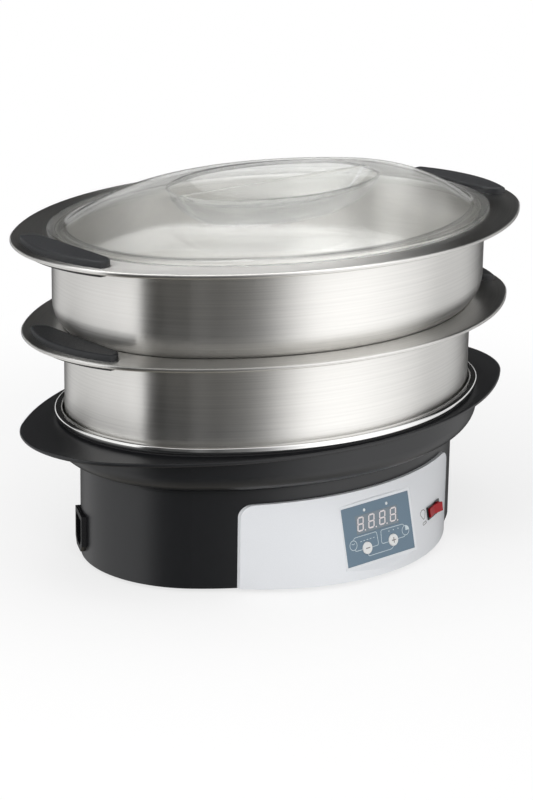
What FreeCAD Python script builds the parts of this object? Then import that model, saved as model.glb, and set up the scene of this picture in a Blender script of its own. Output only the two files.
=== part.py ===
import FreeCAD, Part
import math
import os
from FreeCAD import Vector

# Two-tier oval steam cooker. Millimetres, +Z up, the part stands on Z = 0.
# The long axis is X, the front with the controls faces -Y.

# Plan ovals. Each family is four tangent arcs on fixed centres: the end arcs' centres lie on X and
# the side arcs' centres on Y, at these distances from the middle. A half length picks one oval.
body_end_centre = 68.0
body_side_centre = 80.0
rim_end_centre = 96.0
rim_side_centre = 93.5
wing_end_centre = 125.0
wing_side_centre = 131.6
recess_end_centre = 42.0
recess_side_centre = 56.0

# Half length of the upper tray's rim, and the steps from it to the pieces that fit one another
upper_rim_half = 200.0
upper_rim_width = 33.0
lid_overhang = 3.0
tray_step = 8.0
lower_rim_width = 34.2
basin_play = 1.0
collar_step = 6.0
wing_reach = 34.3
housing_step = 17.5
recess_half = 83.0

# Heights
foot_height = 3.0
housing_height = 73.0
collar_height = 26.5
ledge_drop = 4.4
tub_depth = 36.0
lower_depth = 70.6
upper_depth = 69.6
lid_rise = 26.0

# Clearances
seat_gap = 0.1
nest_gap = 0.3
slide_gap = 0.15
pivot_gap = 0.05

# Base mouldings
housing_wall = 2.8
housing_shoulder = 5.0
housing_rim_width = 8.0
cover_thickness = 2.5
cover_ledge = 1.5
cover_ledge_height = 3.0
collar_wall = 3.0
collar_round = 12.0
collar_lip = 3.2
collar_lip_drop = 6.0
wing_thickness = 2.7
wing_edge_round = 1.2
post_radius = 4.5
post_x = 46.0
screw_radius = 1.6
screw_head_radius = 3.4
screw_head_height = 1.8
cover_screw_length = 22.0
foot_radius = 9.0
foot_stem_radius = 3.0
foot_x = 88.0
foot_inset = 18.4
vent_count = 7
vent_pitch = 14.0
vent_length = 44.0
vent_width = 4.0

# Steel basin and its heater
basin_sheet = 1.0
basin_corner = 6.0
tub_clearance = 9.2
bead_width = 6.2
bead_height = 5.5
bead_round = 2.4
gasket_thickness = 1.2
heater_plate_half = 104.0
heater_plate_thickness = 3.5
heater_tube_radius = 3.7
heater_run = 52.0
heater_turn = 27.0
heater_leg = 16.0
heater_bend = 9.0
clip_length = 9.0
clip_wall = 2.2
thermostat_radius = 8.0
thermostat_height = 9.0
thermostat_stem = 12.6
fuse_radius = 2.4
fuse_length = 13.0

# Front plate, which leans out towards its foot, and the flat panel let into it
front_x = 2.0
front_lean = 13.0
plate_thickness = 2.5
plate_half_width = 97.0
plate_top = 59.7
plate_foot = 0.2
plate_corner = 9.0
panel_width = 63.7
panel_height = 40.6
panel_thickness = 1.0
panel_x = 4.3
panel_z = 33.1
panel_sink = 3.4
console_border = 1.8
console_depth = 11.0
console_wall = 2.6
console_shelf = 1.6
console_lip = 5.0
console_brow = 30.0
console_sill = 50.0
button_x = 12.4
button_foot = 9.9
button_radius = 4.25
button_rise = 1.0
button_travel = 0.6
button_collar = 0.8
button_collar_height = 0.8
display_width = 40.0
display_height = 13.2
display_drop = 13.7
display_body = 1.2
led_x = 10.6
led_gap = 0.4
led_radius = 1.1
board_thickness = 1.6
board_setback = 7.0
switch_size = 6.0
small_screw_radius = 1.0
small_head_radius = 1.9
small_head_height = 1.2
small_screw_inset = 2.3

# Rocker switch on the front plate
rocker_x = 67.0
rocker_z = 29.8
rocker_half_length = 9.0
rocker_half_height = 3.2
rocker_crest = 3.2
rocker_valley = 1.4
rocker_heel = 4.2
rocker_heel_half = 7.2
rocker_axis_depth = 1.6
rocker_tilt = 8.0
rocker_pin_radius = 1.2
rocker_pin_length = 0.7
rocker_side_gap = 0.25
rocker_end_gap = 1.1
rocker_wall = 0.8
rocker_body_depth = 15.0
rocker_bezel = 0.7
rocker_bezel_lip = 0.3
contact_width = 4.8
contact_thickness = 0.8
contact_length = 8.0

# Power inlet
inlet_angle = 153.0
inlet_z = 21.8
inlet_width = 26.0
inlet_height = 27.0
inlet_rise = 2.6
inlet_depth = 19.0
inlet_chamfer = 5.0
socket_width = 20.0
socket_height = 20.0
socket_depth = 16.0
pin_width = 4.0
pin_thickness = 2.0
pin_length = 8.5
pin_spread = 7.0
pin_tail = 7.0

# Power board on the bottom cover
power_board_length = 84.0
power_board_width = 46.0
power_board_y = 34.0
standoff_height = 8.0
standoff_radius = 3.2
standoff_inset = 4.5
relay_length = 20.0
relay_width = 15.5
relay_height = 15.5
component_x = 16.8
capacitor_radius = 5.0
capacitor_height = 18.0

# Steel trays with screwed grips
tray_sheet = 1.2
rim_bend = 2.6
rim_overlap = 4.0
hem_width = 3.0
hem_height = 3.0
hem_round = 1.3
lower_round = 8.0
upper_round = 22.0
steam_hole_radius = 4.0
steam_pitch_x = 26.0
steam_pitch_y = 22.0
steam_columns = 4
grip_gap = 1.0
grip_inset = 6.0
grip_half_span = 45.0
grip_corner = 9.0
grip_top_height = 4.6
grip_under_height = 5.0
grip_edge_round = 1.6
grip_screw_spread = 26.0

# Clear lid
lid_wall = 2.5
lid_flange = 3.0
lid_flange_round = 1.2
lid_flange_width = 8.5
lid_step = 0.8
lid_dome_inset = 12.0
lid_crown_half = 94.0
lid_crown_slope = 2.0
lid_lip_depth = 4.5
lid_lip_inset = 5.6
lid_lip_wall = 2.4
recess_depth = 23.0
recess_floor_inset = 38.0
fin_thickness = 4.0
fin_drop = 0.4

# Families of ovals, as pairs of centre distances
body_oval = (body_end_centre, body_side_centre)
rim_oval = (rim_end_centre, rim_side_centre)
wing_oval = (wing_end_centre, wing_side_centre)
recess_oval = (recess_end_centre, recess_side_centre)

# Levels that the stack of pieces gives
housing_bottom = foot_height
housing_top = housing_bottom + housing_height
wing_top = housing_top + collar_height
ledge_top = wing_top - ledge_drop
tub_bottom = ledge_top - tub_depth
bead_bottom = wing_top + gasket_thickness
lower_bottom = ledge_top + seat_gap
lower_rim_top = lower_bottom + lower_depth
cover_top = housing_bottom + cover_thickness
plate_low = housing_bottom + plate_foot
plate_high = housing_bottom + plate_top
up = Vector(0, 0, 1)

# Half lengths that follow from the upper tray's rim
upper_wall_half = upper_rim_half - upper_rim_width
lid_half = upper_wall_half + lid_overhang
lower_wall_half = upper_wall_half - tray_step
lower_rim_half = lower_wall_half + lower_rim_width
basin_mouth_half = lower_wall_half + basin_play
collar_half = basin_mouth_half + collar_step
wing_half = collar_half + wing_reach
housing_half = collar_half - housing_step
mouth_half = housing_half - housing_rim_width
lip_half = mouth_half - seat_gap
basin_tub_half = lip_half - collar_lip - tub_clearance
post_half = lip_half - post_radius
plate_half = housing_half + plate_thickness


def nested_level():
    # The upper tray's round bottom edge rests in the bend of the lower tray's rim.
    bend = rim_bend + tray_sheet
    across = (lower_wall_half - tray_sheet + bend) - (upper_wall_half - upper_round)
    reach = bend + upper_round + nest_gap
    return lower_rim_top - bend + math.sqrt(reach ** 2 - across ** 2) - upper_round


upper_bottom = nested_level()
upper_rim_top = upper_bottom + upper_depth
lid_seat = upper_rim_top + seat_gap
lid_top = lid_seat + lid_rise


def side_reach(family):
    return math.hypot(*family)


def side_radius(family, half_length):
    return half_length - family[0] + side_reach(family)


def front_y(family, half_length, x):
    return family[1] - math.sqrt(side_radius(family, half_length) ** 2 - x ** 2)


def oval_arcs(family, half_length):
    # Centre, radius, first and last angle of each arc, counter-clockwise from the right end.
    end, side = family
    swing = math.degrees(math.atan2(side, end))
    end_radius = half_length - end
    long_radius = side_radius(family, half_length)
    return [
        (Vector(end, 0, 0), end_radius, -swing, swing),
        (Vector(0, -side, 0), long_radius, swing, 180 - swing),
        (Vector(-end, 0, 0), end_radius, 180 - swing, 180 + swing),
        (Vector(0, side, 0), long_radius, 180 + swing, 360 - swing),
    ]


def oval_wire(family, half_length, z):
    arcs = oval_arcs(family, half_length)
    lift = Vector(0, 0, z)
    return Part.Wire([Part.makeCircle(r, c + lift, up, a, b) for c, r, a, b in arcs])


def oval_prism(family, half_length, low, high):
    return Part.Face(oval_wire(family, half_length, low)).extrude(Vector(0, 0, high - low))


def line(first, last):
    return Part.makeLine(Vector(first[0], 0, first[1]), Vector(last[0], 0, last[1]))


def arc(centre, radius, first, last):
    # Angles in degrees in the section plane, from the outward direction towards up.
    def at(angle):
        turn = math.radians(angle)
        return Vector(centre[0] + radius * math.cos(turn), 0, centre[1] + radius * math.sin(turn))
    return Part.Arc(at(first), at((first + last) / 2), at(last)).toShape()


def ends(edge):
    first = edge.valueAt(edge.FirstParameter)
    last = edge.valueAt(edge.LastParameter)
    return (first.x, first.z), (last.x, last.z)


def rounded(corners, closed=False):
    # Section edges through corners given as outward offset, height and corner radius.
    count = len(corners)
    points = [Vector(s, 0, z) for s, z, radius in corners]
    turns = []
    for i, here in enumerate(points):
        radius = corners[i][2]
        if radius == 0:
            turns.append((here, None, here))
            continue
        before = (points[i - 1] - here).normalize()
        after = (points[(i + 1) % count] - here).normalize()
        half = before.getAngle(after) / 2
        inward = (before + after).normalize()
        reach = radius / math.tan(half)
        middle = here + inward * (radius / math.sin(half) - radius)
        turns.append((here + before * reach, middle, here + after * reach))
    edges = []
    for i, (first, middle, last) in enumerate(turns):
        if middle:
            edges.append(Part.Arc(first, middle, last).toShape())
        if closed or i < count - 1:
            edges.append(Part.makeLine(last, turns[(i + 1) % count][0]))
    return edges


def swept(family, half_length, edges, closed=False):
    # A section carried round an oval. An open section is closed by a flat face at each end.
    faces = []
    for centre, radius, first, last in oval_arcs(family, half_length):
        for edge in edges:
            start = edge.copy()
            start.translate(Vector(radius, 0, 0))
            start.rotate(Vector(0, 0, 0), up, first)
            start.translate(centre)
            faces.append(start.revolve(centre, up, last - first))
    if not closed:
        for s, z in (ends(edges[0])[0], ends(edges[-1])[1]):
            faces.append(Part.Face(oval_wire(family, half_length + s, z)))
    shell = Part.makeShell(faces)
    shell.sewShape()
    solid = Part.makeSolid(shell)
    if solid.Volume < 0:
        solid.reverse()
    return solid


def seat(origin, normal):
    # Local frame with X to the right along a surface, Y up along it and Z outward.
    right = up.cross(normal).normalize()
    rise = normal.cross(right)
    return FreeCAD.Placement(FreeCAD.Matrix(
        right.x, rise.x, normal.x, origin.x,
        right.y, rise.y, normal.y, origin.y,
        right.z, rise.z, normal.z, origin.z,
        0, 0, 0, 1))


def placed(shape, frame):
    moved = shape.copy()
    moved.Placement = frame.multiply(moved.Placement)
    return moved


def slab(width, height, low, high, x=0.0, y=0.0, corner=0.0):
    corner_point = Vector(x - width / 2, y - height / 2, low)
    block = Part.makeBox(width, height, high - low, corner_point)
    if corner:
        block = block.makeFillet(corner, upright_edges(block))
    return block


def upright_edges(shape):
    return [e for e in shape.Edges if abs(e.tangentAt(e.FirstParameter).z) > 0.99]


def edges_at(shape, z):
    return [e for e in shape.Edges if max(abs(e.BoundBox.ZMin - z), abs(e.BoundBox.ZMax - z)) < 1e-4]


def rod(radius, low, high, x=0.0, y=0.0):
    return Part.makeCylinder(radius, high - low, Vector(x, y, low))


def four_corners(x, y):
    return [(sx * x, sy * y) for sx in (-1, 1) for sy in (-1, 1)]


def save(shape, name):
    shape.exportStep("parts/" + name + ".step")


def plate_outline(z, reach, inset):
    # The plate at one level: its front line ends on the housing's oval and is pushed out at its middle.
    ends_x = (front_x - plate_half_width, front_x, front_x + plate_half_width)
    left, middle, right = (Vector(x, front_y(body_oval, plate_half, x), z) for x in ends_x)
    middle.y -= reach
    front = Part.Circle(left, middle, right)
    share = 1 - inset / front.Radius
    left, middle, right = (front.Center + (p - front.Center) * share for p in (left, middle, right))
    back_left = Vector(left.x, 0, z)
    back_right = Vector(right.x, 0, z)
    return Part.Wire([
        Part.Arc(left, middle, right).toShape(), Part.makeLine(right, back_right),
        Part.makeLine(back_right, back_left), Part.makeLine(back_left, left),
    ])


def plate_block(inset):
    reach = (plate_high - plate_low) * math.tan(math.radians(front_lean))
    levels = [plate_outline(plate_low, reach, inset), plate_outline(plate_high, 0, inset)]
    return Part.makeLoft(levels, True, True)


plate_face = min(plate_block(0).Faces, key=lambda face: face.CenterOfMass.y)


def front_point(x, z):
    probe = Part.makeLine(Vector(x, -2 * plate_half, z), Vector(x, 0, z))
    return probe.distToShape(plate_face)[1][0][1]


def front_normal(point):
    normal = plate_face.normalAt(*plate_face.Surface.parameter(point))
    return normal if normal.y < 0 else -normal


# Frames of the panel, the rocker and the inlet
panel_crown = front_point(panel_x, panel_z)
panel_normal = front_normal(panel_crown)
panel_frame = seat(panel_crown - panel_normal * panel_sink, panel_normal)
rocker_origin = front_point(rocker_x, rocker_z)
rocker_frame = seat(rocker_origin, front_normal(rocker_origin))
inlet_turn = math.radians(inlet_angle)
inlet_normal = Vector(math.cos(inlet_turn), math.sin(inlet_turn), 0)
inlet_foot = Vector(-body_end_centre, 0, inlet_z) + inlet_normal * (housing_half - body_end_centre)
inlet_frame = seat(inlet_foot, inlet_normal)
post_y = -front_y(body_oval, post_half, post_x)
post_places = four_corners(post_x, post_y)
foot_y = -front_y(body_oval, housing_half - foot_inset, foot_x)
foot_places = four_corners(foot_x, foot_y)
board_low = -panel_thickness - board_setback - board_thickness
display_y = panel_height / 2 - display_drop
button_y = button_foot - panel_height / 2
button_places = {"minus_button": -button_x, "plus_button": button_x}
led_y = display_y + display_height / 2 + display_body + led_gap + led_radius
rocker_opening = (2 * (rocker_half_length + rocker_end_gap), 2 * (rocker_half_height + rocker_side_gap))
rocker_body = (rocker_opening[0] + 2 * rocker_wall, rocker_opening[1] + 2 * rocker_wall)
console_size = (panel_width + 2 * console_border, panel_height + 2 * console_border)


def rocker_slot():
    # Room for the switch through the plate and the housing's wall behind it.
    width, height = (size + 2 * seat_gap for size in rocker_body)
    return placed(slab(width, height, -2 * rocker_body_depth, rocker_body_depth), rocker_frame)


# Base mouldings

def base_housing():
    wall = -housing_wall
    rim = -housing_rim_width
    ledge = wall - cover_ledge
    ledge_low = cover_top + seat_gap
    ledge_high = ledge_low + cover_ledge_height
    top = housing_top - seat_gap
    under = top - housing_wall
    shell = swept(body_oval, housing_half, rounded([
        (0, housing_bottom, 0), (0, top, housing_shoulder), (rim, top, 0), (rim, under, 0),
        (wall, under, housing_shoulder - housing_wall), (wall, ledge_high, 0), (ledge, ledge_high, 0),
        (ledge, ledge_low, 0), (wall, ledge_low, 0), (wall, housing_bottom, 0),
    ], True), True)
    width, height = (size + 2 * nest_gap for size in console_size)
    console = placed(slab(width, height, -2 * console_depth, console_depth), panel_frame)
    width, height = inlet_width + 2 * seat_gap, inlet_height + 2 * seat_gap
    inlet = placed(inlet_block(width, height, -inlet_depth, inlet_rise, inlet_chamfer), inlet_frame)
    return shell.cut([console, rocker_slot(), inlet])


def base_collar():
    # The winged flange, the rounded band under it, its locating lip and the screw posts.
    wing_bottom = wing_top - wing_thickness
    lip_outer = lip_half - collar_half
    lip_inner = lip_outer - collar_lip
    lip_bottom = housing_top - collar_lip_drop
    floor = housing_top + collar_wall
    band = swept(body_oval, collar_half, rounded([
        (0, wing_top, 0), (0, housing_top, collar_round), (lip_outer, housing_top, 0),
        (lip_outer, lip_bottom, 0), (lip_inner, lip_bottom, 0), (lip_inner, floor, 0),
        (-collar_wall, floor, collar_round - collar_wall), (-collar_wall, wing_top, 0),
    ], True), True)
    wing = oval_prism(wing_oval, wing_half, wing_bottom, wing_top)
    wing = wing.makeFillet(wing_edge_round, edges_at(wing, wing_bottom) + edges_at(wing, wing_top))
    mouth = oval_prism(body_oval, basin_mouth_half + basin_sheet + slide_gap, wing_bottom, wing_top + 1)
    screw_top = housing_bottom + cover_screw_length
    posts = [rod(post_radius, cover_top + seat_gap, housing_top, x, y) for x, y in post_places]
    pilots = [rod(screw_radius, cover_top, screw_top + 1, x, y) for x, y in post_places]
    return band.fuse([wing] + posts).cut([mouth] + pilots).removeSplitter()


def bottom_cover():
    plate = oval_prism(body_oval, housing_half - housing_wall - seat_gap, housing_bottom, cover_top)
    pillars = []
    holes = [rod(foot_stem_radius + seat_gap, 0, cover_top + 1, x, y) for x, y in foot_places]
    holes += [rod(screw_radius + seat_gap, 0, cover_top + 1, x, y) for x, y in post_places]
    for x, y in power_board_corners():
        pillars.append(rod(standoff_radius, cover_top, cover_top + standoff_height, x, y))
        holes.append(rod(small_screw_radius, cover_top, cover_top + standoff_height, x, y))
    for i in range(vent_count):
        x = (i - (vent_count - 1) / 2) * vent_pitch
        holes.append(slab(vent_width, vent_length, 0, cover_top + 1, x, -vent_length / 2))
    return plate.fuse(pillars).cut(holes)


def cover_screws():
    top = housing_bottom + cover_screw_length
    head = housing_bottom - screw_head_height
    shanks = [rod(screw_radius, housing_bottom, top, x, y) for x, y in post_places]
    heads = [rod(screw_head_radius, head, housing_bottom, x, y) for x, y in post_places]
    return Part.makeCompound([a.fuse(b).removeSplitter() for a, b in zip(shanks, heads)])


def rubber_feet():
    feet = []
    for x, y in foot_places:
        stem = rod(foot_stem_radius, 0, cover_top + 1, x, y)
        feet.append(rod(foot_radius, 0, foot_height, x, y).fuse(stem).removeSplitter())
    return Part.makeCompound(feet)


# Steel basin, seal and heater

def water_basin():
    tub = basin_tub_half - basin_mouth_half
    start = tub - 2 * basin_corner
    wall_top = bead_bottom + bead_height / 2
    inner_corner = basin_corner - basin_sheet
    pan = swept(body_oval, basin_mouth_half, rounded([
        (start, tub_bottom, 0), (tub, tub_bottom, basin_corner), (tub, ledge_top - basin_sheet, basin_sheet),
        (basin_sheet, ledge_top - basin_sheet, basin_sheet), (basin_sheet, wall_top, 0), (0, wall_top, 0),
        (0, ledge_top, 0), (tub - basin_sheet, ledge_top, 2 * basin_sheet),
        (tub - basin_sheet, tub_bottom + basin_sheet, inner_corner), (start, tub_bottom + basin_sheet, 0),
    ]))
    bead_top = bead_bottom + bead_height
    bead = swept(body_oval, basin_mouth_half, rounded([
        (0, bead_bottom, bead_round), (bead_width, bead_bottom, bead_round),
        (bead_width, bead_top, bead_round), (0, bead_top, bead_round),
    ], True), True)
    return pan.fuse(bead).removeSplitter()


def basin_gasket():
    outer = oval_prism(body_oval, basin_mouth_half + bead_width - bead_round, wing_top, bead_bottom)
    hole = oval_prism(body_oval, basin_mouth_half + basin_sheet + slide_gap, wing_top - 1, bead_bottom + 1)
    return outer.cut(hole)


def heater_level():
    return tub_bottom - heater_plate_thickness


def heater_plate():
    return oval_prism(body_oval, heater_plate_half, heater_level(), tub_bottom)


def heating_element():
    # A long U under the plate, with both ends turned down to the terminals.
    z = heater_level() - heater_tube_radius
    run, turn, bend, leg = heater_run, heater_turn, heater_bend, heater_leg
    slant = bend * math.sqrt(0.5)
    edges = []
    for side in (-1, 1):
        y = side * turn
        start = Vector(-run, y, z)
        middle = Vector(-run - slant, y, z - bend + slant)
        last = Vector(-run - bend, y, z - bend)
        edges.append(Part.makeLine(last - Vector(0, 0, leg), last))
        edges.append(Part.Arc(last, middle, start).toShape())
        edges.append(Part.makeLine(start, Vector(run, y, z)))
    edges.append(Part.Arc(Vector(run, -turn, z), Vector(run + turn, 0, z), Vector(run, turn, z)).toShape())
    path = Part.Wire(Part.__sortEdges__(edges))
    end = path.OrderedVertexes[0].Point
    return path.makePipe(Part.Face(Part.Wire(Part.makeCircle(heater_tube_radius, end, up))))


def heater_clips():
    # Saddles that hold the tube against the plate.
    top = heater_level()
    low = top - 2 * heater_tube_radius - clip_wall
    width = 2 * (heater_tube_radius + clip_wall)
    clips = []
    for x in (-heater_run / 2, heater_run / 2):
        for y in (-heater_turn, heater_turn):
            block = slab(clip_length, width, low, top, x, y)
            tube = Part.makeCylinder(heater_tube_radius + seat_gap, 2 * clip_length,
                                     Vector(x - clip_length, y, top - heater_tube_radius), Vector(1, 0, 0))
            slot = slab(clip_length + 1, 2 * heater_tube_radius, top - heater_tube_radius, top + 1, x, y)
            clips.append(block.cut([tube, slot]))
    solids = []
    for clip in clips:
        solids += clip.Solids
    return Part.makeCompound(solids)


def thermostat():
    top = heater_level()
    can = rod(thermostat_radius, top - thermostat_height, top)
    stem = rod(thermostat_radius / 2, top - thermostat_stem, top)
    return can.fuse(stem).removeSplitter()


def thermal_fuse():
    start = Vector(heater_run - fuse_length / 2, 0, heater_level() - fuse_radius)
    return Part.makeCylinder(fuse_radius, fuse_length, start, Vector(1, 0, 0))


# Front plate, console and control panel

def front_plate():
    block = plate_block(0)
    corners = [e for e in edges_at(block, plate_high) if abs(e.tangentAt(e.FirstParameter).y) > 0.99]
    floor = slab(4 * plate_half, 4 * plate_half, plate_low, plate_low + plate_thickness)
    # The plate is solid round the console, so that its brow and sill don't open the hollow behind.
    width, height = console_size
    behind = placed(slab(width, height + 2 * console_lip, -2 * console_depth, console_depth), panel_frame)
    hollow = plate_block(plate_thickness).cut([floor, behind])
    core = oval_prism(body_oval, housing_half, plate_low - 1, plate_high + 1)
    skin = block.makeFillet(plate_corner, corners).cut([hollow, core])
    # The panel lies in a flat seat. Its brow and sill slope back to the round of the plate.
    frame = slab(width, height, -console_depth, 0)
    top = height / 2 + console_depth * math.tan(math.radians(console_brow))
    foot = -height / 2 - console_depth * math.tan(math.radians(console_sill))
    opening = Part.Face(Part.makePolygon([
        Vector(-width / 2, -height / 2, 0), Vector(-width / 2, height / 2, 0),
        Vector(-width / 2, top, console_depth), Vector(-width / 2, foot, console_depth),
        Vector(-width / 2, -height / 2, 0)])).extrude(Vector(width, 0, 0))
    depth = panel_thickness + board_setback
    face = slab(panel_width + 2 * seat_gap, panel_height + 2 * seat_gap, -panel_thickness, 1)
    shelf = slab(panel_width - 2 * console_shelf, panel_height - 2 * console_shelf, -depth, 0)
    back = slab(width - 2 * console_wall, height - 2 * console_wall, -2 * console_depth, -depth)
    cuts = [placed(shape, panel_frame) for shape in (opening, face, shelf, back)]
    return skin.fuse(placed(frame, panel_frame)).cut(cuts + [rocker_slot()]).removeSplitter()


def control_panel():
    panel = slab(panel_width, panel_height, -panel_thickness, 0)
    cuts = [slab(display_width, display_height, -2, 1, 0, display_y)]
    for x in (-button_x, button_x):
        cuts.append(rod(button_radius + slide_gap, -2, 1, x, button_y))
    for x in (-led_x, led_x):
        cuts.append(rod(led_radius + seat_gap, -2, 1, x, led_y))
    return placed(panel.cut(cuts), panel_frame)


def display_module():
    top = -panel_thickness
    low = board_low + board_thickness
    body = slab(display_width + 2 * display_body, display_height + 2 * display_body, low, top, 0, display_y)
    face = slab(display_width - 2 * seat_gap, display_height - 2 * seat_gap, low, -seat_gap, 0, display_y)
    return placed(body.fuse(face).removeSplitter(), panel_frame)


def indicator_leds():
    low = board_low + board_thickness
    lamps = [rod(led_radius, low, 0, x, led_y) for x in (-led_x, led_x)]
    return placed(Part.makeCompound(lamps), panel_frame)


def control_board_size():
    width, height = console_size
    return width - 2 * console_wall - 2 * seat_gap, height - 2 * console_wall - 2 * seat_gap


def board_screw_places():
    width, height = control_board_size()
    return four_corners(width / 2 - small_screw_inset, height / 2 - small_screw_inset)


def control_board():
    width, height = control_board_size()
    board = slab(width, height, board_low, board_low + board_thickness)
    holes = [rod(small_screw_radius + seat_gap, board_low - 1, 0, x, y) for x, y in board_screw_places()]
    return placed(board.cut(holes), panel_frame)


def board_screws():
    screws = []
    for x, y in board_screw_places():
        head = rod(small_head_radius, board_low - small_head_height, board_low, x, y)
        shank = rod(small_screw_radius, board_low, board_low + board_thickness, x, y)
        screws.append(head.fuse(shank).removeSplitter())
    return placed(Part.makeCompound(screws), panel_frame)


def switch_top():
    return -panel_thickness - button_collar_height - seat_gap - button_travel - slide_gap


def tact_switches():
    low = board_low + board_thickness
    bodies = [slab(switch_size, switch_size, low, switch_top(), x, button_y) for x in (-button_x, button_x)]
    return placed(Part.makeCompound(bodies), panel_frame)


def push_button(x):
    cap_low = -panel_thickness - seat_gap
    cap = rod(button_radius, cap_low, button_rise, x, button_y)
    cap = cap.makeFillet(button_rise / 2, edges_at(cap, button_rise))
    collar = rod(button_radius + button_collar, cap_low - button_collar_height, cap_low, x, button_y)
    return placed(cap.fuse(collar).removeSplitter(), panel_frame)


# Rocker switch

def rocker_contact_places():
    return (-rocker_half_length / 2, rocker_half_length / 2)


def rocker_housing():
    width, height = rocker_opening
    body_width, body_height = rocker_body
    lip = 2 * rocker_bezel_lip
    bezel_top = seat_gap + rocker_bezel
    floor = -rocker_body_depth + rocker_wall
    box = slab(body_width, body_height, -rocker_body_depth, bezel_top)
    bezel = slab(body_width + lip, body_height + lip, seat_gap, bezel_top)
    cavity = slab(width, height, floor, bezel_top + 1)
    pin = Part.makeCylinder(rocker_pin_radius + pivot_gap, body_height + 2,
                            Vector(0, -body_height / 2 - 1, -rocker_axis_depth), Vector(0, 1, 0))
    cuts = [cavity, pin]
    for x in rocker_contact_places():
        cuts.append(slab(contact_width, contact_thickness, -rocker_body_depth - 1, floor + 1, x))
    return placed(box.fuse(bezel).cut(cuts).removeSplitter(), rocker_frame)


def rocker_contacts():
    low = -rocker_body_depth - contact_length
    high = -rocker_body_depth + rocker_wall
    blades = [slab(contact_width, contact_thickness, low, high, x) for x in rocker_contact_places()]
    return placed(Part.makeCompound(blades), rocker_frame)


def rocker_paddle():
    # A shallow V, stored with its left half pressed in.
    half, pivot = rocker_half_length, -rocker_axis_depth
    outline = [Vector(-half, 0, rocker_crest), Vector(0, 0, rocker_valley), Vector(half, 0, rocker_crest),
               Vector(rocker_heel_half, 0, -rocker_heel), Vector(-rocker_heel_half, 0, -rocker_heel)]
    face = Part.Face(Part.makePolygon(outline + outline[:1]))
    wedge = face.extrude(Vector(0, 2 * rocker_half_height, 0))
    wedge.translate(Vector(0, -rocker_half_height, 0))
    span = rocker_half_height + rocker_side_gap + rocker_pin_length
    pin = Part.makeCylinder(rocker_pin_radius, 2 * span, Vector(0, -span, pivot), Vector(0, 1, 0))
    paddle = wedge.fuse(pin).removeSplitter()
    paddle.rotate(Vector(0, 0, pivot), Vector(0, 1, 0), -rocker_tilt)
    return placed(paddle, rocker_frame)


# Power inlet

def inlet_block(width, height, low, high, chamfer):
    block = slab(width, height, low, high)
    bottom = [e for e in upright_edges(block) if e.CenterOfMass.y < 0]
    return block.makeChamfer(chamfer, bottom)


def inlet_socket():
    body = inlet_block(inlet_width, inlet_height, -inlet_depth, inlet_rise, inlet_chamfer)
    floor = inlet_rise - socket_depth
    cuts = [inlet_block(socket_width, socket_height, floor, inlet_rise + 1, inlet_chamfer)]
    for x, y in inlet_pin_places():
        cuts.append(slab(pin_thickness, pin_width, -inlet_depth - 1, floor + 1, x, y))
    return placed(body.cut(cuts), inlet_frame)


def inlet_pin_places():
    return [(-pin_spread, pin_width / 2), (pin_spread, pin_width / 2), (0, -pin_width / 2)]


def inlet_pins():
    floor = inlet_rise - socket_depth
    pins = [slab(pin_thickness, pin_width, -inlet_depth - pin_tail, floor + pin_length, x, y)
            for x, y in inlet_pin_places()]
    return placed(Part.makeCompound(pins), inlet_frame)


# Power board

def power_board_corners():
    x = power_board_length / 2 - standoff_inset
    y = power_board_width / 2 - standoff_inset
    return [(sx * x, power_board_y + sy * y) for sx in (-1, 1) for sy in (-1, 1)]


def power_board():
    low = cover_top + standoff_height
    board = slab(power_board_length, power_board_width, low, low + board_thickness, 0, power_board_y)
    holes = [rod(small_screw_radius + seat_gap, low - 1, low + 3, x, y) for x, y in power_board_corners()]
    return board.cut(holes)


def power_board_screws():
    low = cover_top + standoff_height
    top = low + board_thickness
    screws = []
    for x, y in power_board_corners():
        head = rod(small_head_radius, top, top + small_head_height, x, y)
        shank = rod(small_screw_radius, low - standoff_height / 2, top, x, y)
        screws.append(head.fuse(shank).removeSplitter())
    return Part.makeCompound(screws)


def power_relay():
    low = cover_top + standoff_height + board_thickness
    return slab(relay_length, relay_width, low, low + relay_height, -component_x, power_board_y)


def power_capacitor():
    low = cover_top + standoff_height + board_thickness
    return rod(capacitor_radius, low, low + capacitor_height, component_x, power_board_y)


# Trays

def steam_holes(bottom):
    holes = []
    for row in (-1, 0, 1):
        count = steam_columns + (row + 1) % 2
        for i in range(count):
            x = (i - (count - 1) / 2) * steam_pitch_x
            holes.append(rod(steam_hole_radius, bottom - 1, bottom + tray_sheet + 1, x, row * steam_pitch_y))
    return holes


def tray(wall_half, rim_half, bottom, rim_top, bottom_round, grip_half):
    under = rim_top - tray_sheet
    start = -2 * bottom_round
    wing = rim_bend + tray_sheet + rim_overlap
    bowl = swept(body_oval, wall_half, rounded([
        (start, bottom, 0), (0, bottom, bottom_round), (0, under, rim_bend), (wing, under, 0),
        (wing, rim_top, 0), (-tray_sheet, rim_top, rim_bend + tray_sheet),
        (-tray_sheet, bottom + tray_sheet, bottom_round - tray_sheet), (start, bottom + tray_sheet, 0),
    ]))
    rim = oval_prism(rim_oval, rim_half - hem_width / 2, under, rim_top)
    rim = rim.cut(oval_prism(body_oval, wall_half + wing - rim_overlap / 2, under - 1, rim_top + 1))
    hem = swept(rim_oval, rim_half, rounded([
        (-hem_width, rim_top - hem_height, hem_round), (0, rim_top - hem_height, hem_round),
        (0, rim_top, hem_round), (-hem_width, rim_top, hem_round),
    ], True), True)
    cuts = steam_holes(bottom)
    for x, y in grip_screw_places(rim_half, grip_half):
        cuts.append(rod(screw_radius + seat_gap, under - 1, rim_top + 1, x, y))
    return bowl.fuse([rim, hem]).removeSplitter().cut(cuts)


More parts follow.
